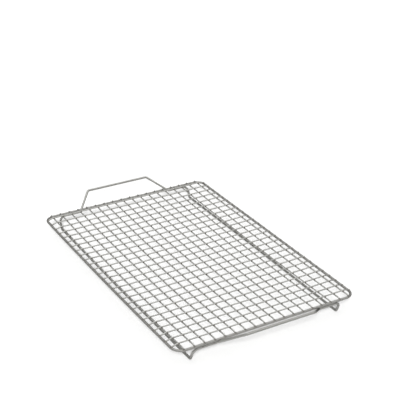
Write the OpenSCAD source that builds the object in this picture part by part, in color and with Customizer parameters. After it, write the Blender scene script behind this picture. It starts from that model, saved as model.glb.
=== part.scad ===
// Wire cooling rack: a welded half-inch mesh on a round-cornered rim wire, carried by two bent
// base wires. Each base wire gives half of both floor runners, two feet and one end handle.
// Origin: on the table, under the middle of the rack. +X across, +Y along, +Z up.

/* [Mesh] */
// Spacing of the mesh wires, centre to centre
pitch = 12.7; // [12:0.1:12.9]
// Diameter of a mesh wire
mesh_d = 1.7; // [1.4:0.1:2]
// Number of wires that run the length of the rack
long_count = 18; // [16:1:18]
// Number of wires that run across the rack
cross_count = 27; // [25:1:27]
// How far short of the rim's outer edge each mesh wire is cut
end_trim = 1.2; // [0:0.1:1.4]

/* [Rim] */
// Width of the rim, between the centres of its wire
rim_w = 234; // [232:1:240]
// Length of the rim, between the centres of its wire
rim_l = 351; // [349:1:360]
// Diameter of the rim wire
rim_d = 3; // [2.6:0.1:3.6]
// Radius of the rim's corners, to the centre of the wire
rim_corner_r = 12; // [9:1:16]

/* [Base wires] */
// Height of the rack, from the table to the top of the mesh
rack_h = 24; // [22:0.5:30]
// Diameter of a base wire
base_d = 2.8; // [2.4:0.1:3.2]
// Spacing of the two floor runners, centre to centre
runner_gap = 193; // [180:1:200]
// How far inside the rim's end each foot meets the table
foot_inset = 6; // [4:0.5:14]
// Bend radius at the tip of a foot
foot_bend_r = 2.6; // [2.2:0.1:3.5]
// Bend radius where a foot turns to run under the rim
shoulder_bend_r = 8; // [4:0.5:9]

/* [Handles] */
// Width of a handle where it leaves the rim
handle_base_w = 133; // [110:1:150]
// Width of a handle at the grip
handle_grip_w = 88; // [70:1:100]
// How far the grip stands out beyond the rim
handle_reach = 23.5; // [15:0.5:35]
// How far the grip stands above the wire under the rim
handle_rise = 16; // [8:0.5:24]
// Bend radius at the root of a handle
root_bend_r = 3.5; // [3:0.5:6]
// Bend radius at the corners of the grip
grip_bend_r = 4; // [3:0.5:8]

/* [Hidden] */
$fn = 32;
steel = [0.72, 0.72, 0.70];
// Heights of the wire centres, each layer resting on the one below it
cross_z = rack_h - mesh_d/2;
long_z = cross_z - mesh_d;
rim_z = long_z - mesh_d/2 - rim_d/2;
edge_z = rim_z - rim_d/2 - base_d/2;
runner_z = base_d/2;
// Half spans
long_end_y = rim_l/2 + rim_d/2 - end_trim;
cross_end_x = rim_w/2 + rim_d/2 - end_trim;
// A bend is made this much thicker than its rods, which end this far inside it
bend_swell = 0.02;
rod_lap = 0.02;
// The set at each end of a cross wire, which brings it down on to the rim
set_angle = 20;
set_r = 3;
set_start_x = (long_count - 1)*pitch/2 + mesh_d;
set_run = mesh_d/tan(set_angle);

function numbered(stem, n) = str(stem, n < 10 ? "0" : "", n);
function unit(v) = v/norm(v);
function bend_angle(a, p, b) = acos(unit(p - a)*unit(b - p));
// Length that a bend of radius r takes from each leg at corner p
function bend_leg(a, p, b, r) = r*tan(bend_angle(a, p, b)/2);

// A straight round rod from a to b
module rod(a, b, d) {
  v = b - a;
  translate(a)
    rotate([0, acos(v.z/norm(v)), atan2(v.y, v.x)])
      cylinder(h = norm(v), d = d);
}

// The bend of a round rod at corner p, on its way from a to b
module bend(a, p, b, r, d) {
  u = unit(p - a);
  start = p - u*bend_leg(a, p, b, r);
  centre = p + unit(unit(b - p) - u)*r/cos(bend_angle(a, p, b)/2);
  x = unit(start - centre);
  z = cross(x, u);
  multmatrix([
    [x.x, u.x, z.x, centre.x],
    [x.y, u.y, z.y, centre.y],
    [x.z, u.z, z.z, centre.z],
    [0, 0, 0, 1]
  ])
    rotate_extrude(angle = bend_angle(a, p, b))
      translate([r, 0])
        circle(d = d + bend_swell);
}

// A round wire through points, with a bend radius for each; an open wire has 0 at both ends
module bent_wire(points, radii, d, closed = false) {
  n = len(points);
  last = closed ? n - 1 : n - 2;
  for (i = [0:last]) {
    p = points[i];
    q = points[(i + 1) % n];
    before = points[(i + n - 1) % n];
    after = points[(i + 2) % n];
    way = unit(q - p);
    r_here = radii[i];
    r_next = radii[(i + 1) % n];
    from = r_here > 0 ? p + way*(bend_leg(before, p, q, r_here) - rod_lap) : p;
    to = r_next > 0 ? q - way*(bend_leg(p, q, after, r_next) - rod_lap) : q;
    rod(from, to, d);
    if (r_here > 0)
      bend(before, p, q, r_here, d);
  }
}

// Mesh wire that runs the length of the rack, its ends resting on the rim
module long_wire(i) {
  x = (i - (long_count + 1)/2)*pitch;
  color(steel)
    rod([x, -long_end_y, long_z], [x, long_end_y, long_z], mesh_d);
}

// Mesh wire that lies across the long wires and is set down on to the rim at both ends
module cross_wire(j) {
  y = ((cross_count + 1)/2 - j)*pitch;
  low_x = set_start_x + set_run;
  color(steel)
    bent_wire(
      [[-cross_end_x, y, long_z], [-low_x, y, long_z], [-set_start_x, y, cross_z],
       [set_start_x, y, cross_z], [low_x, y, long_z], [cross_end_x, y, long_z]],
      [0, set_r, set_r, set_r, set_r, 0],
      mesh_d
    );
}

// Closed ring round the mesh
module rim_wire() {
  x = rim_w/2;
  y = rim_l/2;
  color(steel)
    bent_wire(
      [[x, -y, rim_z], [x, y, rim_z], [-x, y, rim_z], [-x, -y, rim_z]],
      [for (corner = [1:4]) rim_corner_r],
      rim_d,
      closed = true
    );
}

// Half of both runners, two feet and the handle between them, bent from one wire
module base_wire() {
  runner_x = runner_gap/2;
  foot_y = rim_l/2 - foot_inset;
  edge_y = rim_l/2;
  root_x = handle_base_w/2;
  grip = [handle_grip_w/2, edge_y + handle_reach, edge_z + handle_rise];
  right = [
    [runner_x, 0, runner_z], [runner_x, foot_y, runner_z], [runner_x, edge_y, edge_z],
    [root_x, edge_y, edge_z], grip
  ];
  left = [for (k = [len(right) - 1:-1:0]) [-right[k].x, right[k].y, right[k].z]];
  radii = [0, foot_bend_r, shoulder_bend_r, root_bend_r, grip_bend_r];
  radii_back = [for (k = [len(radii) - 1:-1:0]) radii[k]];
  bent_wire(concat(right, left), concat(radii, radii_back), base_d);
}

module base_wire_front() {
  color(steel)
    rotate([0, 0, 180])
      base_wire();
}

module base_wire_back() {
  color(steel)
    base_wire();
}

rim_wire();
base_wire_front();
base_wire_back();
for (i = [1:long_count])
  long_wire(i);
for (j = [1:cross_count])
  cross_wire(j);
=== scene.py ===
"""Looks of a welded wire cooling rack: drawn steel wires with their welds, on a white table that
glows with a painted pool of light under the rack, in soft studio light. Every wire follows the
CAD frame; all lengths are in metres."""

import math
import random

import bpy
import numpy as np
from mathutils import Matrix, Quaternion, Vector


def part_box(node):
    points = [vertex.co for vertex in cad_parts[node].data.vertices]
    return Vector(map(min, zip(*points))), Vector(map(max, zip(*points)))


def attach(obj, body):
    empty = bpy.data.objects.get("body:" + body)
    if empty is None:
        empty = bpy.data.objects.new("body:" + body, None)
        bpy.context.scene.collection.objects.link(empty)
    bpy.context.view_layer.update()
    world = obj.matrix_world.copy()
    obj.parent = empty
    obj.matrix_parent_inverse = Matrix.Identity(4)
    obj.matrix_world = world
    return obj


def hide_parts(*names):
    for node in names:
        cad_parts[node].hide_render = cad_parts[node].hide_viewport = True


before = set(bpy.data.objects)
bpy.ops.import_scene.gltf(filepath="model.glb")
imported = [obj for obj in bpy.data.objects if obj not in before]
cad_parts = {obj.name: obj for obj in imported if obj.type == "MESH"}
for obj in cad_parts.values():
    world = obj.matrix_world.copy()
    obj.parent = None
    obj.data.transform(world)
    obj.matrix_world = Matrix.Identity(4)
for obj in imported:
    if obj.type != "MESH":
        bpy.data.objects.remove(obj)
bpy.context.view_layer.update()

MM = 0.001

# Sizes of the wires and their bends
BASE_D = 2.8 * MM
RIM_CORNER_R = 12 * MM
FOOT_INSET = 6 * MM
FOOT_BEND_R = 2.6 * MM
SHOULDER_BEND_R = 8 * MM
HANDLE_BASE_W = 133 * MM
HANDLE_GRIP_W = 88 * MM
ROOT_BEND_R = 3.5 * MM
GRIP_BEND_R = 4 * MM
SET_BEND_R = 3 * MM
SET_ANGLE = math.radians(20)

# Fineness of the meshes: how many sides a mesh wire and a thicker wire have, the steps along a
# wire at a weld and on either side of it, those between the welds, and those in a bend
MESH_SIDES = 16
FRAME_SIDES = 24
FINE_STEP = 0.3 * MM
FINE_REACH = 1.35 * MM
SHORTEST_STEP = 0.45 * FINE_STEP
COARSE_STEP = 4.5 * MM
LONGEST_STEP = 1.5 * COARSE_STEP
BEND_STEP = math.radians(7.5)
SHARP_EDGE = math.radians(50)

# Steps in which the nearest place on a centre line is looked for, and lengths that count as none
# there and in a blend
SEARCH_STEP = 0.2 * MM
TINY = 1e-12
THINNEST_BLEND = 1e-9

# Welds: how thick the blend between two wires is, how far from the contact it reaches, and how far
# their temper colours and painted contact shade reach
MESH_FILLET = 0.75 * MM
RIM_FILLET = 0.95 * MM
EDGE_FILLET = 1.5 * MM
WELD_REACH = 2.6 * MM
EDGE_WELD_REACH = 3.4 * MM
TEMPER_AND_SHADE_SPREAD = 1.5 * MM

# How far out a fillet is looked for, as a share of its thickness, and at how many places
FILLET_SEARCH = 0.32
FILLET_PLACES = 13

# Upset beads of the butt welds, and the cross wire after which the rim has its own
BEAD_RISE = 0.14 * MM
BEAD_SPREAD = 1.1 * MM
RIM_BEAD_AFTER = 10

# Where the rim is welded to the base wire, as shares of the way from a handle to a runner
EDGE_WELD_SHARES = (0.16, 0.62)

# How far the weld pressed the ends of the mesh wires into the rim, and the bend that this left
WELD_SINK = 0.5 * MM
SINK_RUN = 3 * MM
SINK_BEND_R = 6 * MM

# Wire ends: sheared, with a small rolled edge that has rings at these shares of a quarter turn
END_ROUND = 0.16 * MM
END_ROUND_SHARES = (0.0, 0.35, 1.0)
END_DOME = 0.05 * MM
END_TILT = 0.05

# How far the welded mesh strays from a true grid
STRAY_ACROSS = 0.09 * MM
STRAY_UP = 0.12 * MM

# The stray is a sum of waves: how many, between which shares of the wanted number per metre theirs
# are drawn, and what their sum is divided by to keep it between about -1 and 1
WAVES = 5
WAVES_ACROSS = (0.7, 1.4)
WAVES_ALONG = (0.5, 1.5)
WAVES_SUM = 3

# Up to this height the rack keeps its true shape, so that it stands on the table, and above that
# it strays and bows more and more, in full when it's this much higher
TRUE_HEIGHT = 3 * MM
FREEING_RISE = 12 * MM

# How far the rack has bowed down between its feet: the mesh inside the rim, how much more of that
# is on the left than in the middle, and the rim's left side. The higher the power, the closer to
# the sides of the rim the mesh keeps its full bow
MESH_BOW = 2.6 * MM
BOW_LEAN = 0.3 * MM
LEFT_RIM_BOW = 2.3 * MM
BOW_POWER = 20

# How far out of line the runners are at the butt weld in their middle
RUNNER_BOW = 1.1 * MM

# Drawn steel: how often its marks, clouds and blotches change per metre across and along a wire
MARKS = (9000, 9000, 110)
CLOUDS = (520, 520, 85)
BLOTCHES = (1300, 1300, 1100)

# Shares of the steel's tone: in dark clouds, in bright clouds, in deep marks and at sheared ends
DULL = 0.9
BRIGHT = 1.06
SCORED = 0.7
SHEARED = 0.4

# Roughness that clouds and welds add, and the relief of the marks
CLOUD_ROUGHNESS = (-0.05, 0.07)
WELD_ROUGHNESS = 0.22
MARK_STRENGTH = 0.3
MARK_DEPTH = 0.02 * MM

# Heights between which a base wire goes from painted shade near the table to its own tone
SHADED_HEIGHT = 3 * MM
UNSHADED_HEIGHT = 12 * MM

# Where each wire was cut from the drawn coil, which sets its pattern, in metres: from one long wire
# or cross wire to the next, and for the first cross wire and the front base wire
LONG_CUT = 0.73
CROSS_CUT = 0.61
CROSS_START = 20
FRONT_START = 3.1

# The white table: its size and its grey, and how matt and how glossy its top is
TABLE_SIZE = 16.0
TABLE_GREY = 0.35
TABLE_ROUGHNESS = 0.95
TABLE_GLOSS = 0.1

# A painted pool of light that the table glows with under the rack: its middle, its half width and
# half length and its soft edge, and how much the table glows in it and beside it
GLOW_MIDDLE = (16 * MM, 47 * MM, 0)
GLOW_REACH = (114 * MM, 192 * MM)
GLOW_EDGE = 10 * MM
GLOW_IN_PAINTED_POOL = 0.3
GLOW_BESIDE_PAINTED_POOL = 0.1

# Key light: its strength, how wide it looks, which way it shines, and where it stands
KEY_STRENGTH = 9.4
KEY_WIDTH = math.radians(16)
KEY_HEADING = math.radians(32)
KEY_RISE = math.radians(35)
KEY_DISTANCE = 3

# Brightness of the studio room at shares of the way up, and the share of blue in its white
ROOM_LEVELS = ((0.0, 0.35), (0.55, 0.5), (0.8, 1.5), (1.0, 1.6))
ROOM_BLUE = 0.985

# Camera: its lens, film width and place in millimetres, which way it looks and leans, and how far
# the nearest and farthest things that it sees are
LENS = 94.37
FILM_WIDTH = 36
CAMERA_PLACE = (-559.6, -970.9, 647.9)
CAMERA_HEADING = math.radians(30.562)
CAMERA_DROP = math.radians(26.325)
CAMERA_ROLL = math.radians(0.534)
NEAREST_SEEN = 0.05
FARTHEST_SEEN = 50

X_WAY = np.array([1.0, 0.0, 0.0])
Y_WAY = np.array([0.0, 1.0, 0.0])
UP = np.array([0.0, 0.0, 1.0])


def unit(v):
    return v / np.linalg.norm(v)


def corners_of(node):
    """Lowest and highest corner of a CAD node, as arrays."""
    low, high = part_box(node)
    return np.array(low), np.array(high)


def placed(name, data):
    """A new object in the scene."""
    thing = bpy.data.objects.new(name, data)
    bpy.context.scene.collection.objects.link(thing)
    return thing


# ---------------------------------------------------------------- centre lines


class Route:
    """A centre line of straight stretches and round bends, measured by the distance along it."""

    def __init__(self, corners, radii, closed=False):
        corners = [np.array(c, float) for c in corners]
        self.closed = closed
        self.parts = []
        self.bends = []
        self.length = 0.0
        n = len(corners)
        legs = [0.0] * n
        for i in range(0 if closed else 1, n if closed else n - 1):
            before, here, after = corners[i - 1], corners[i], corners[(i + 1) % n]
            turn = math.acos(float(unit(here - before) @ unit(after - here)))
            legs[i] = radii[i] * math.tan(turn / 2)
        for i in range(n if closed else n - 1):
            j = (i + 1) % n
            way = unit(corners[j] - corners[i])
            start = corners[i] + way * legs[i]
            end = corners[j] - way * legs[j]
            self.add_straight(start, way, float(np.linalg.norm(end - start)))
            if legs[j] > 0:
                self.add_bend(end, way, unit(corners[(j + 1) % n] - corners[j]), radii[j])

    def add_straight(self, start, way, length):
        self.parts.append((self.length, length, start, way, None, None))
        self.length += length

    def add_bend(self, start, way, way_out, radius):
        turn = math.acos(float(way @ way_out))
        inward = unit(way_out - way * float(way @ way_out))
        self.parts.append((self.length, radius * turn, start, way, inward, radius))
        self.bends.append((self.length, radius * turn, turn))
        self.length += radius * turn

    def at(self, distances):
        """Points and directions at some distances along the line."""
        points = np.zeros((len(distances), 3))
        ways = np.zeros((len(distances), 3))
        for begin, length, start, way, inward, radius in self.parts:
            here = (distances >= begin - TINY) & (distances <= begin + length + TINY)
            s = (distances[here] - begin)[:, None]
            if inward is None:
                points[here] = start + way * s
                ways[here] = way
            else:
                a = s / radius
                points[here] = start + radius * (np.sin(a) * way + (1 - np.cos(a)) * inward)
                ways[here] = np.cos(a) * way + np.sin(a) * inward
        return points, ways

    def nearest(self, point):
        """Distance along the line at which it comes nearest to a point."""
        distances = np.linspace(0, self.length, int(self.length / SEARCH_STEP))
        points, _ = self.at(distances)
        return float(distances[np.argmin(((points - point) ** 2).sum(1))])


def stations(route, details):
    """Distances at which a wire gets a ring of points: close together at details and in bends."""
    last = route.length - (FINE_STEP if route.closed else 0)
    wanted = [0.0, last]
    for begin, length, turn in route.bends:
        wanted += list(begin + np.linspace(0, length, 1 + max(2, round(turn / BEND_STEP))))
    near = round(FINE_REACH / FINE_STEP)
    for s in details:
        wanted += [s + k * FINE_STEP for k in range(-near, near + 1)]
    wanted = sorted(s for s in wanted if 0 <= s <= last)
    kept = [0.0]
    for s in wanted[1:]:
        gap = s - kept[-1]
        if gap > LONGEST_STEP:
            between = int(gap / COARSE_STEP)
            kept += [kept[-1] + gap * k / (between + 1) for k in range(1, between + 1)]
        if s - kept[-1] > SHORTEST_STEP:
            kept.append(s)
    if not route.closed:
        kept[-1] = last
    return np.array(kept)


# ---------------------------------------------------------------- welds


class Touch:
    """A place where a wire is welded to another, whose straight axis passes through axis_point."""

    def __init__(self, point, axis_point, axis_way, radius, fillet, reach=WELD_REACH):
        self.point = np.array(point, float)
        self.axis_point = np.array(axis_point, float)
        self.axis_way = np.array(axis_way, float)
        self.radius = radius
        self.fillet = fillet
        self.reach = reach

    def gap(self, points):
        """Distance from points to the other wire's surface."""
        arm = points - self.axis_point
        arm = arm - (arm @ self.axis_way)[:, None] * self.axis_way
        return np.linalg.norm(arm, axis=1) - self.radius


def smooth_min(a, b, k):
    """The lesser of a and b, rounded off where they differ by less than k."""
    h = np.maximum(k - np.abs(a - b), 0) / np.maximum(k, THINNEST_BLEND)
    return np.minimum(a, b) - h * h * k / 4


def grow_fillets(points, normals, touches):
    """Moves surface points out on to the smooth blend of a wire with each wire welded to it."""
    rise = np.zeros(len(points))
    for touch in touches:
        far = np.linalg.norm(points - touch.point, axis=1) / touch.reach
        near = np.nonzero(far < 1)[0]
        if not len(near):
            continue
        k = touch.fillet * (1 - far[near] ** 2) ** 2
        shares = np.linspace(0, FILLET_SEARCH, FILLET_PLACES)
        found = FILLET_SEARCH * k
        outside = np.ones(len(near), bool)
        before = None
        for share in shares:
            t = share * k
            moved = points[near] + normals[near] * t[:, None]
            value = smooth_min(t, touch.gap(moved), k)
            reached = outside & (value >= 0)
            if before is None:
                found[reached] = 0
            else:
                part = before[reached] / np.minimum(before[reached] - value[reached], -TINY)
                found[reached] = t[reached] - (1 - part) * (shares[1] - shares[0]) * k[reached]
            outside &= ~reached
            before = value
        rise[near] = np.maximum(rise[near], found)
    return points + normals * rise[:, None]


def temper_and_shade_near_welds(points, touches):
    """From 0 to 1, how strongly the nearest weld warmed each point, which sets its temper colour
    and painted contact shade.
    """
    temper_and_shade = np.zeros(len(points))
    for touch in touches:
        far = np.linalg.norm(points - touch.point, axis=1)
        temper_and_shade = np.maximum(temper_and_shade, np.exp(-((far / TEMPER_AND_SHADE_SPREAD) ** 2)))
    return temper_and_shade


# ---------------------------------------------------------------- the strayed grid


def ripple(seed, across, along):
    """A smooth random field of two coordinates, between about -1 and 1.

    Its waves are about as long as `across` in the first coordinate and `along` in the second."""
    dice = random.Random(seed)
    waves = []
    for _ in range(WAVES):
        waves.append((
            dice.uniform(*WAVES_ACROSS) * dice.choice((-1, 1)) / across,
            dice.uniform(*WAVES_ALONG) * dice.choice((-1, 1)) / along,
            dice.uniform(0, 2 * math.pi),
        ))

    def field(a, b):
        total = sum(np.sin(2 * math.pi * (fa * a + fb * b) + phase) for fa, fb, phase in waves)
        return total / WAVES_SUM

    return field


# The stray sideways and lengthwise changes from wire to wire, and slowly along each wire. The stray
# in height only changes slowly
pitch = float(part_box("long_wire_02")[0].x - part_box("long_wire_01")[0].x)
stray_x = ripple(11, across=2.3 * pitch, along=150 * MM)
stray_y = ripple(12, across=2.3 * pitch, along=130 * MM)
stray_z = ripple(13, across=160 * MM, along=210 * MM)
rim_low, rim_high = corners_of("rim_wire")
rim_inner_x = rim_high[0] - (rim_high[2] - rim_low[2])


def bow(x, y):
    """How far the rack hangs down at a place in plan: nothing at its ends, most at half length."""
    u = np.clip(x / rim_inner_x, -1, 1)
    v = np.clip(y / rim_high[1], -1, 1)
    side = LEFT_RIM_BOW * (1 - u) / 2
    middle = (MESH_BOW - BOW_LEAN * u) * (1 - u**BOW_POWER)
    return (side + middle) * (1 - v**2)


def settle(points):
    """Lets the welded rack stray a little from its true shape, but not where it's on the table."""
    x, y, z = points.T
    lift = np.clip((z - TRUE_HEIGHT) / FREEING_RISE, 0, 1)
    lift = lift * lift * (3 - 2 * lift)
    return points + lift[:, None] * np.stack(
        [
            STRAY_ACROSS * stray_x(x, y),
            STRAY_ACROSS * stray_y(y, x),
            STRAY_UP * stray_z(x, y) - bow(x, y),
        ],
        axis=1,
    )


# ---------------------------------------------------------------- wires


def ring_frames(ways):
    """Two directions across a wire at each station, turned as little as possible along it."""
    side = unit(np.cross(ways[0], UP))
    sides = [side]
    for way in ways[1:]:
        side = unit(side - way * float(side @ way))
        sides.append(side)
    sides = np.array(sides)
    return sides, np.cross(sides, ways)


def wire_mesh(name, route, radius, sides, touches=(), beads=(), offset=0.0):
    """Mesh of a round wire along a route, with welds, upset beads and sheared ends.

    Its points keep how strongly the welds warmed them, which sets temper colours and painted
    contact shade, whether they are on a sheared end, and their place on the straight wire before it
    was bent, whose pattern starts at `offset`."""
    details = [route.nearest(t.point) for t in touches] + list(beads)
    rings = stations(route, details)
    centres, ways = route.at(rings)
    radii = np.full(len(rings), radius)
    for s in beads:
        radii = radii + BEAD_RISE * np.exp(-(((rings - s) / BEAD_SPREAD) ** 2))
    if not route.closed:
        rings, centres, ways, radii = with_ends(rings, centres, ways, radii, name)
    across, over = ring_frames(ways)
    turn = np.arange(sides) * 2 * math.pi / sides
    spin_a, spin_b = np.cos(turn)[None, :, None], np.sin(turn)[None, :, None]
    normals = across[:, None, :] * spin_a + over[:, None, :] * spin_b
    points = centres[:, None, :] + normals * radii[:, None, None]
    points, normals = points.reshape(-1, 3), normals.reshape(-1, 3)
    points = grow_fillets(points, normals, touches)
    points[:, 2] = np.maximum(points[:, 2], 0)
    temper_and_shade = temper_and_shade_near_welds(points, touches)
    local = np.stack(
        [
            np.tile(np.cos(turn) * radius, len(rings)),
            np.tile(np.sin(turn) * radius, len(rings)),
            np.repeat(rings, sides) + offset,
        ],
        axis=1,
    )
    faces = tube_faces(len(rings), sides, route.closed)
    cut = np.zeros(len(points))
    if not route.closed:
        for ring, sign in ((0, -1), (len(rings) - 1, 1)):
            tip = centres[ring] + ways[ring] * sign * END_DOME
            points = np.vstack([points, tip])
            temper_and_shade = np.append(temper_and_shade, temper_and_shade[ring * sides])
            cut[ring * sides:(ring + 1) * sides] = 1
            cut = np.append(cut, 1)
            local = np.vstack([local, [0, 0, rings[ring] + offset]])
            faces += end_faces(ring * sides, sides, len(points) - 1, sign)
    mesh = bpy.data.meshes.new(name)
    mesh.from_pydata(settle(points).tolist(), [], faces)
    for attribute, values in (("weld", temper_and_shade), ("cut", cut)):
        data = mesh.attributes.new(attribute, "FLOAT", "POINT").data
        data.foreach_set("value", values.astype(np.float32))
    mesh.attributes.new("wire", "FLOAT_VECTOR", "POINT").data.foreach_set(
        "vector", local.astype(np.float32).ravel()
    )
    mesh.shade_smooth()
    mesh.set_sharp_from_angle(angle=SHARP_EDGE)
    mesh.validate()
    return mesh


def with_ends(rings, centres, ways, radii, name):
    """Adds the rolled, slightly slanting edges of a sheared wire at both ends."""
    dice = random.Random(name)
    for first in (True, False):
        ring = 0 if first else -1
        sign = 1 if first else -1
        slant = np.array([dice.uniform(-END_TILT, END_TILT) for _ in range(3)])
        way = unit(ways[ring] + slant)
        extra_rings, extra_centres, extra_ways, extra_radii = [], [], [], []
        for share in END_ROUND_SHARES:
            angle = share * math.pi / 2
            depth = END_ROUND * (1 - math.sin(angle))
            extra_rings.append(rings[ring] + sign * depth)
            extra_centres.append(centres[ring] + ways[ring] * sign * depth)
            extra_ways.append(way)
            extra_radii.append(radii[ring] - END_ROUND * (1 - math.cos(angle)))
        body = slice(1, None) if first else slice(None, -1)
        order = slice(None, None, -1) if first else slice(None)
        parts = []
        for whole, extra in (
            (rings, extra_rings),
            (centres, extra_centres),
            (ways, extra_ways),
            (radii, extra_radii),
        ):
            extra = np.array(extra)[order]
            both = (extra, whole[body]) if first else (whole[body], extra)
            parts.append(np.concatenate(both))
        rings, centres, ways, radii = parts
    return rings, centres, ways, radii


def tube_faces(rings, sides, closed):
    """Quads between neighbouring rings of a tube."""
    faces = []
    for r in range(rings if closed else rings - 1):
        a, b = r * sides, ((r + 1) % rings) * sides
        for k in range(sides):
            m = (k + 1) % sides
            faces.append((a + k, a + m, b + m, b + k))
    return faces


def end_faces(first, sides, tip, sign):
    """Triangles that close one end of a tube."""
    faces = []
    for k in range(sides):
        a, b = first + k, first + (k + 1) % sides
        faces.append((a, b, tip) if sign > 0 else (b, a, tip))
    return faces


def finished(node, mesh, material):
    """Makes the piece that stands for a CAD node and takes its place on the body."""
    piece = placed(node + "_finished", mesh)
    mesh.materials.append(material)
    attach(piece, "root")
    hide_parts(node)


# ---------------------------------------------------------------- materials


def share_of(tone, share):
    """A tone made darker or brighter, as a colour."""
    return tuple(c * share for c in tone) + (1,)


def drawn_steel(name, tone, weld_temper_and_shade, rough, edge, table_shade):
    """Bright drawn steel wire: drawing marks along it, cloudy polish, and temper colours at the
    welds, darkened there further as painted contact shade.

    `tone` and `edge` are what it mirrors face on and at a glancing angle, `weld_temper_and_shade`
    is its tone at a weld, temper colour and painted shade in one, and `table_shade` is the share of
    its tone that is left near the table, as painted shade."""
    material = bpy.data.materials.new(name)
    material.use_nodes = True
    nodes, links = material.node_tree.nodes, material.node_tree.links
    shader = nodes["Principled BSDF"]
    shader.inputs["Metallic"].default_value = 1.0

    wire = nodes.new("ShaderNodeAttribute")
    wire.attribute_name = "wire"
    weld = nodes.new("ShaderNodeAttribute")
    weld.attribute_name = "weld"
    cut = nodes.new("ShaderNodeAttribute")
    cut.attribute_name = "cut"

    def noise(scale, detail, roughness):
        stretch = nodes.new("ShaderNodeVectorMath")
        stretch.operation = "MULTIPLY"
        stretch.inputs[1].default_value = scale
        links.new(wire.outputs["Vector"], stretch.inputs[0])
        texture = nodes.new("ShaderNodeTexNoise")
        texture.inputs["Scale"].default_value = 1.0
        texture.inputs["Detail"].default_value = detail
        texture.inputs["Roughness"].default_value = roughness
        links.new(stretch.outputs[0], texture.inputs["Vector"])
        return texture.outputs["Fac"]

    def remap(value, given, wanted):
        node = nodes.new("ShaderNodeMapRange")
        node.inputs["From Min"].default_value = given[0]
        node.inputs["From Max"].default_value = given[1]
        node.inputs["To Min"].default_value = wanted[0]
        node.inputs["To Max"].default_value = wanted[1]
        links.new(value, node.inputs["Value"])
        return node.outputs["Result"]

    def mix(factor, a, b):
        node = nodes.new("ShaderNodeMix")
        node.data_type = "RGBA"
        links.new(factor, node.inputs["Factor"])
        # Sockets 6 and 7 are A and B of a colour mix, and output 2 is its result
        for value, socket in ((a, node.inputs[6]), (b, node.inputs[7])):
            if isinstance(value, tuple):
                socket.default_value = value
            else:
                links.new(value, socket)
        return node.outputs[2]

    def product(a, b):
        node = nodes.new("ShaderNodeMath")
        node.operation = "MULTIPLY"
        links.new(a, node.inputs[0])
        links.new(b, node.inputs[1])
        return node.outputs[0]

    marks = noise(MARKS, detail=4, roughness=0.6)
    clouds = noise(CLOUDS, detail=3, roughness=0.55)
    blotches = noise(BLOTCHES, detail=2, roughness=0.5)

    # Dull to bright with the clouds, darker in the deepest marks, then temper colours and painted
    # contact shade in blotches at the welds, dark at sheared ends, and painted shade near the table
    cloudy = remap(clouds, (0.3, 0.7), (0, 1))
    steel = mix(cloudy, share_of(tone, DULL), share_of(tone, BRIGHT))
    scored = mix(remap(marks, (0.35, 0.6), (0.3, 0)), steel, share_of(tone, SCORED))
    # Temper colours with painted contact shade, in blotches near the welds
    temper_and_shade_share = product(
        remap(weld.outputs["Fac"], (0.12, 0.95), (0, 0.85)),
        remap(blotches, (0.3, 0.62), (0.55, 1)),
    )
    with_temper_and_shade = mix(temper_and_shade_share, scored, weld_temper_and_shade + (1,))
    with_ends_cut = mix(cut.outputs["Fac"], with_temper_and_shade, share_of(tone, SHEARED))
    place = nodes.new("ShaderNodeTexCoord")
    split = nodes.new("ShaderNodeSeparateXYZ")
    links.new(place.outputs["Object"], split.inputs[0])
    # Painted shade: the steel gets darker towards the table, standing in for the shade under the
    # rack
    low = remap(split.outputs["Z"], (SHADED_HEIGHT, UNSHADED_HEIGHT), (1, 0))
    links.new(mix(low, with_ends_cut, share_of(tone, table_shade)), shader.inputs["Base Color"])
    shader.inputs["Specular Tint"].default_value = (edge, edge, edge, 1)

    # Rougher and smoother with the clouds, and rougher at the welds
    cloudy_polish = tuple(rough + more for more in CLOUD_ROUGHNESS)
    polish = nodes.new("ShaderNodeMath")
    polish.operation = "ADD"
    links.new(remap(clouds, (0.25, 0.75), cloudy_polish), polish.inputs[0])
    links.new(remap(weld.outputs["Fac"], (0.1, 1), (0, WELD_ROUGHNESS)), polish.inputs[1])
    links.new(polish.outputs[0], shader.inputs["Roughness"])

    bump = nodes.new("ShaderNodeBump")
    bump.inputs["Strength"].default_value = MARK_STRENGTH
    bump.inputs["Distance"].default_value = MARK_DEPTH
    links.new(marks, bump.inputs["Height"])
    links.new(bump.outputs["Normal"], shader.inputs["Normal"])
    return material


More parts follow.
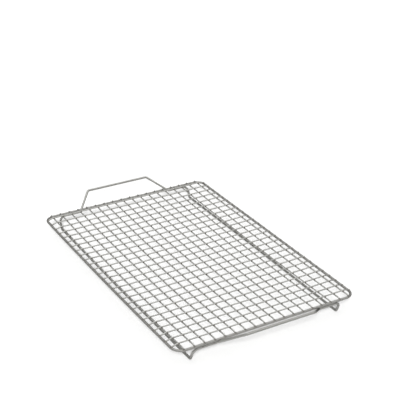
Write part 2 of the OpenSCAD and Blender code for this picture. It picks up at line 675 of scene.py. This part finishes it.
def table_white():
    """A white acrylic table: matt, and glowing with a painted pool of light about as big as the
    rack.
    """
    material = bpy.data.materials.new("table_white")
    material.use_nodes = True
    nodes, links = material.node_tree.nodes, material.node_tree.links
    shader = nodes["Principled BSDF"]
    shader.inputs["Base Color"].default_value = (TABLE_GREY, TABLE_GREY, TABLE_GREY, 1)
    shader.inputs["Roughness"].default_value = TABLE_ROUGHNESS
    shader.inputs["Specular IOR Level"].default_value = TABLE_GLOSS

    place = nodes.new("ShaderNodeTexCoord")
    shift = nodes.new("ShaderNodeVectorMath")
    shift.operation = "SUBTRACT"
    shift.inputs[1].default_value = GLOW_MIDDLE
    links.new(place.outputs["Object"], shift.inputs[0])
    away = nodes.new("ShaderNodeVectorMath")
    away.operation = "ABSOLUTE"
    links.new(shift.outputs[0], away.inputs[0])
    split = nodes.new("ShaderNodeSeparateXYZ")
    links.new(away.outputs[0], split.inputs[0])
    in_painted_pool = nodes.new("ShaderNodeMath")
    in_painted_pool.operation = "MULTIPLY"
    for axis, reach in enumerate(GLOW_REACH):
        fade = nodes.new("ShaderNodeMapRange")
        fade.interpolation_type = "SMOOTHSTEP"
        fade.inputs["From Min"].default_value = reach
        fade.inputs["From Max"].default_value = reach + GLOW_EDGE
        fade.inputs["To Min"].default_value = 1
        fade.inputs["To Max"].default_value = 0
        links.new(split.outputs[axis], fade.inputs["Value"])
        links.new(fade.outputs["Result"], in_painted_pool.inputs[axis])
    # Painted light: the table glows brighter in a pool under the rack than beside it
    glow = nodes.new("ShaderNodeMapRange")
    glow.inputs["To Min"].default_value = GLOW_BESIDE_PAINTED_POOL
    glow.inputs["To Max"].default_value = GLOW_IN_PAINTED_POOL
    links.new(in_painted_pool.outputs[0], glow.inputs["Value"])
    links.new(glow.outputs["Result"], shader.inputs["Emission Strength"])
    shader.inputs["Emission Color"].default_value = (1, 1, 1, 1)
    return material


# ---------------------------------------------------------------- the rack

long_nodes = sorted(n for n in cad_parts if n.startswith("long_wire_"))
cross_nodes = sorted(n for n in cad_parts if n.startswith("cross_wire_"))

long_low, long_high = corners_of(long_nodes[0])
_, cross_high = corners_of(cross_nodes[0])
_, base_high = corners_of("base_wire_back")

mesh_r = (long_high[2] - long_low[2]) / 2
rim_r = (rim_high[2] - rim_low[2]) / 2
base_r = BASE_D / 2

long_z = (long_low[2] + long_high[2]) / 2
cross_z = cross_high[2] - mesh_r
rim_z = (rim_low[2] + rim_high[2]) / 2
seat_z = long_z - WELD_SINK
edge_z = rim_z - rim_r - base_r
grip_z = base_high[2] - base_r
runner_z = base_r

long_end_y = long_high[1]
cross_end_x = cross_high[0]
rim_x = rim_high[0] - rim_r
rim_y = rim_high[1] - rim_r
runner_x = base_high[0] - base_r
grip_y = base_high[1] - base_r
foot_y = rim_y - FOOT_INSET

long_xs = [float(sum(corners_of(n))[0] / 2) for n in long_nodes]
cross_ys = [float(sum(corners_of(n))[1] / 2) for n in cross_nodes]
mesh_touch_z = (long_z + cross_z) / 2
rim_touch_z = rim_z + rim_r
edge_touch_z = rim_z - rim_r

rim_corners = [[rim_x, -rim_y], [rim_x, rim_y], [-rim_x, rim_y], [-rim_x, -rim_y]]
rim_route = Route([[x, y, rim_z] for x, y in rim_corners], [RIM_CORNER_R] * 4, closed=True)


def rim_under(x, y):
    """The place on the rim's centre line nearest to a point in plan, and its direction there."""
    s = rim_route.nearest(np.array([x, y, rim_z]))
    points, ways = rim_route.at(np.array([s]))
    return points[0], ways[0]


def mesh_wire_touches(across, at, others, ends):
    """Welds of a mesh wire at `at`: to the wires that cross it, and to the rim at both ends.

    `across` is True for a cross wire. `others` are the places of the wires that it crosses."""
    touches = []
    for other in others:
        x, y = (other, at) if across else (at, other)
        other_z = long_z if across else cross_z
        touches.append(Touch(
            [x, y, mesh_touch_z],
            [x, y, other_z],
            Y_WAY if across else X_WAY,
            mesh_r,
            MESH_FILLET,
        ))
    for end in (-ends, ends):
        x, y = (end, at) if across else (at, end)
        centre, way = rim_under(x, y)
        contact = [centre[0], y, rim_touch_z] if across else [x, centre[1], rim_touch_z]
        touches.append(Touch(contact, centre, way, rim_r, RIM_FILLET))
    return touches


def edge_welds():
    """Spot welds between the rim and the base wire under it, two at each side of each handle."""
    inner = HANDLE_BASE_W / 2
    places = []
    for share in EDGE_WELD_SHARES:
        x = inner + (runner_x - inner) * share
        places += [(x, rim_y), (-x, rim_y), (x, -rim_y), (-x, -rim_y)]
    return places


def rim_touches():
    """Welds of the rim: to both ends of every mesh wire, and to the base wires."""
    touches = []
    for y in cross_ys:
        for side in (-1, 1):
            centre, _ = rim_under(side * rim_x, y)
            contact = [centre[0], y, rim_touch_z]
            touches.append(Touch(contact, [centre[0], y, seat_z], X_WAY, mesh_r, RIM_FILLET))
    for x in long_xs:
        for side in (-1, 1):
            centre, _ = rim_under(x, side * rim_y)
            contact = [x, centre[1], rim_touch_z]
            touches.append(Touch(contact, [x, centre[1], seat_z], Y_WAY, mesh_r, RIM_FILLET))
    for x, y in edge_welds():
        touches.append(Touch(
            [x, y, edge_touch_z], [x, y, edge_z], X_WAY, base_r, EDGE_FILLET, EDGE_WELD_REACH
        ))
    return touches


def long_wire(node, x, material, offset):
    """A wire along the rack: straight, but pressed down a little where it's welded to the rim."""
    low_y = rim_y - 2 * mesh_r + SINK_RUN / 2
    half = [[x, low_y - SINK_RUN, long_z], [x, low_y, seat_z], [x, long_end_y, seat_z]]
    other_half = [[x, -y, z] for x, y, z in reversed(half)]
    route = Route(other_half + half, [0] + [SINK_BEND_R] * 4 + [0])
    touches = mesh_wire_touches(False, x, cross_ys, rim_y)
    mesh = wire_mesh(node, route, mesh_r, MESH_SIDES, touches, offset=offset)
    finished(node, mesh, material)


def cross_wire(node, y, material, offset):
    """A wire across the rack, over the long wires and set down on to the rim at both ends."""
    set_start = max(long_xs) + 2 * mesh_r
    set_end = set_start + (cross_z - seat_z) / math.tan(SET_ANGLE)
    half = [[set_start, y, cross_z], [set_end, y, seat_z], [cross_end_x, y, seat_z]]
    other_half = [[-x, y, z] for x, y, z in reversed(half)]
    radii = [0, SET_BEND_R, SET_BEND_R, SET_BEND_R, SET_BEND_R, 0]
    route = Route(other_half + half, radii)
    touches = mesh_wire_touches(True, y, long_xs, rim_x)
    mesh = wire_mesh(node, route, mesh_r, MESH_SIDES, touches, offset=offset)
    finished(node, mesh, material)


def rim_wire(material):
    """The rim: a closed ring, with the bead of its butt weld on the left side."""
    bead_y = sum(cross_ys[RIM_BEAD_AFTER - 1:RIM_BEAD_AFTER + 1]) / 2
    bead = rim_route.nearest(np.array([-rim_x, bead_y, rim_z]))
    mesh = wire_mesh("rim_wire", rim_route, rim_r, FRAME_SIDES, rim_touches(), beads=[bead])
    finished("rim_wire", mesh, material)


def base_wire(node, end, material, offset):
    """Half of both runners, two feet and a handle, at the end given by its sign."""
    half = [
        [runner_x + RUNNER_BOW, 0, runner_z],
        [runner_x, foot_y, runner_z],
        [runner_x, rim_y, edge_z],
        [HANDLE_BASE_W / 2, rim_y, edge_z],
        [HANDLE_GRIP_W / 2, grip_y, grip_z],
    ]
    radii = [0, FOOT_BEND_R, SHOULDER_BEND_R, ROOT_BEND_R, GRIP_BEND_R]
    other_half = [[-x, y, z] for x, y, z in reversed(half)]
    corners = [[end * x, end * y, z] for x, y, z in half + other_half]
    route = Route(corners, radii + radii[::-1])
    touches = []
    for x, y in edge_welds():
        if y * end > 0:
            touches.append(Touch(
                [x, y, edge_touch_z], [x, y, rim_z], X_WAY, rim_r, EDGE_FILLET, EDGE_WELD_REACH
            ))
    beads = [0.0, route.length]
    mesh = wire_mesh(node, route, base_r, FRAME_SIDES, touches, beads, offset)
    finished(node, mesh, material)


mesh_steel = drawn_steel(
    "mesh_steel",
    tone=(0.52, 0.518, 0.5),
    weld_temper_and_shade=(0.24, 0.21, 0.17),
    rough=0.35,
    edge=0.4,
    table_shade=1,
)
rim_steel = drawn_steel(
    "rim_steel",
    tone=(0.38, 0.376, 0.362),
    weld_temper_and_shade=(0.17, 0.15, 0.12),
    rough=0.38,
    edge=0.2,
    table_shade=1,
)
base_steel = drawn_steel(
    "base_steel",
    tone=(0.42, 0.417, 0.398),
    weld_temper_and_shade=(0.17, 0.15, 0.12),
    rough=0.38,
    edge=0.15,
    table_shade=0.72,
)

for k, (node, x) in enumerate(zip(long_nodes, long_xs)):
    long_wire(node, x, mesh_steel, offset=k * LONG_CUT)
for k, (node, y) in enumerate(zip(cross_nodes, cross_ys)):
    cross_wire(node, y, mesh_steel, offset=CROSS_START + k * CROSS_CUT)
rim_wire(rim_steel)
base_wire("base_wire_back", 1, base_steel, offset=0.0)
base_wire("base_wire_front", -1, base_steel, offset=FRONT_START)


# ---------------------------------------------------------------- table, light and camera


def ahead(heading, rise):
    """Direction that is turned by `heading` from +Y towards +X and tilted up by `rise`."""
    return Vector((
        math.sin(heading) * math.cos(rise),
        math.cos(heading) * math.cos(rise),
        math.sin(rise),
    ))


def point_at(thing, place, way, roll=0.0):
    """Puts a lamp or camera at a place and has it look a certain way."""
    thing.location = place
    thing.rotation_mode = "QUATERNION"
    thing.rotation_quaternion = way.to_track_quat("-Z", "Y") @ Quaternion((0, 0, 1), roll)


def make_table():
    """A square table, so wide that its edges can't be seen from a little above it."""
    mesh = bpy.data.meshes.new("table")
    half = TABLE_SIZE / 2
    corners = [(-half, -half, 0), (half, -half, 0), (half, half, 0), (-half, half, 0)]
    mesh.from_pydata(corners, [], [(0, 1, 2, 3)])
    table = placed("table", mesh)
    mesh.materials.append(table_white())


def make_key_light():
    """Wide soft light from above the camera. The steel mirrors the room and not this lamp."""
    light = bpy.data.lights.new("key_light", "SUN")
    light.energy = KEY_STRENGTH
    light.angle = KEY_WIDTH
    lamp = placed("key_light", light)
    way = ahead(KEY_HEADING, -KEY_RISE)
    point_at(lamp, way * -KEY_DISTANCE, way)
    lamp.visible_glossy = False


def make_world():
    """A dim studio room, brighter towards the ceiling."""
    world = bpy.data.worlds.new("studio")
    bpy.context.scene.world = world
    world.use_nodes = True
    nodes, links = world.node_tree.nodes, world.node_tree.links
    place = nodes.new("ShaderNodeTexCoord")
    split = nodes.new("ShaderNodeSeparateXYZ")
    links.new(place.outputs["Generated"], split.inputs[0])
    ramp = nodes.new("ShaderNodeValToRGB")
    for height, _ in ROOM_LEVELS[1:-1]:
        ramp.color_ramp.elements.new(height)
    for element, (height, level) in zip(ramp.color_ramp.elements, ROOM_LEVELS):
        element.position = height
        element.color = (level, level, level * ROOM_BLUE, 1)
    links.new(split.outputs["Z"], ramp.inputs["Fac"])
    links.new(ramp.outputs["Color"], nodes["Background"].inputs["Color"])
    nodes["Background"].inputs["Strength"].default_value = 1.0


def make_camera():
    """A long lens beyond the near left corner, looking along and down the rack."""
    data = bpy.data.cameras.new("camera")
    data.sensor_width = FILM_WIDTH
    data.lens = LENS
    data.clip_start = NEAREST_SEEN
    data.clip_end = FARTHEST_SEEN
    camera = placed("camera", data)
    way = ahead(CAMERA_HEADING, -CAMERA_DROP)
    point_at(camera, Vector(CAMERA_PLACE) * MM, way, CAMERA_ROLL)
    bpy.context.scene.camera = camera


make_table()
make_world()
make_key_light()
make_camera()
bpy.context.scene.view_settings.view_transform = "Standard"
